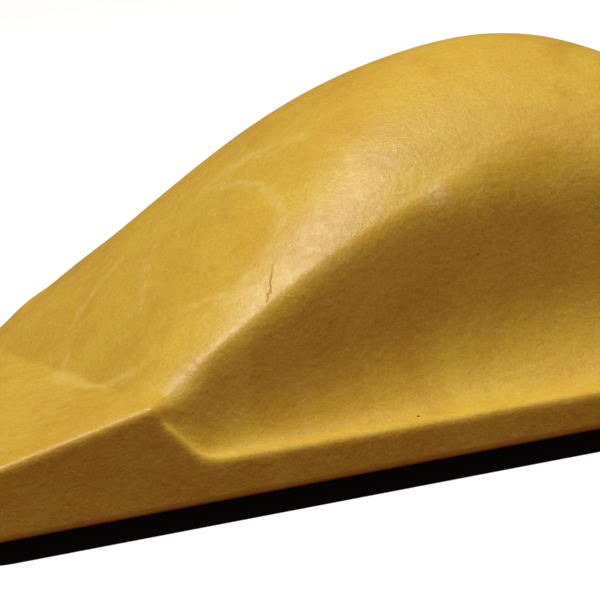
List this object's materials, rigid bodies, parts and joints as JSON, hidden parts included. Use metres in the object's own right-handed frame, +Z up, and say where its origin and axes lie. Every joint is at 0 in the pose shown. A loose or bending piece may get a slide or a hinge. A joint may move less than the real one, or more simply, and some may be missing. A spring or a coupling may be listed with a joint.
{
  "type": "hand sanding block",
  "caption": "Moulded foam hand sanding block: a palm hump with finger scoops on both sides, low nose and tail decks, and a flat hook-faced sole that holds an abrasive sheet.",
  "frame": {"origin": "middle of the sole's bottom face", "axes": "+X from the nose to the tail, +Y across the block, +Z up out of the sole"},
  "size_m": [0.125, 0.07, 0.0476],
  "materials": {
    "foam": "yellow integral-skin polyurethane foam, dull satin skin, mottled, with faint flow marks",
    "adhesive": "thin pressure-sensitive adhesive film",
    "sole_rubber": "black closed-cell sheet with a cut edge",
    "hook_fabric": "black nylon hook tape"
  },
  "bodies": {
    "root": {"grip_body": "foam", "sole_bond": "adhesive", "sole_sheet": "sole_rubber", "hook_tape": "hook_fabric"}
  },
  "joints": []
}
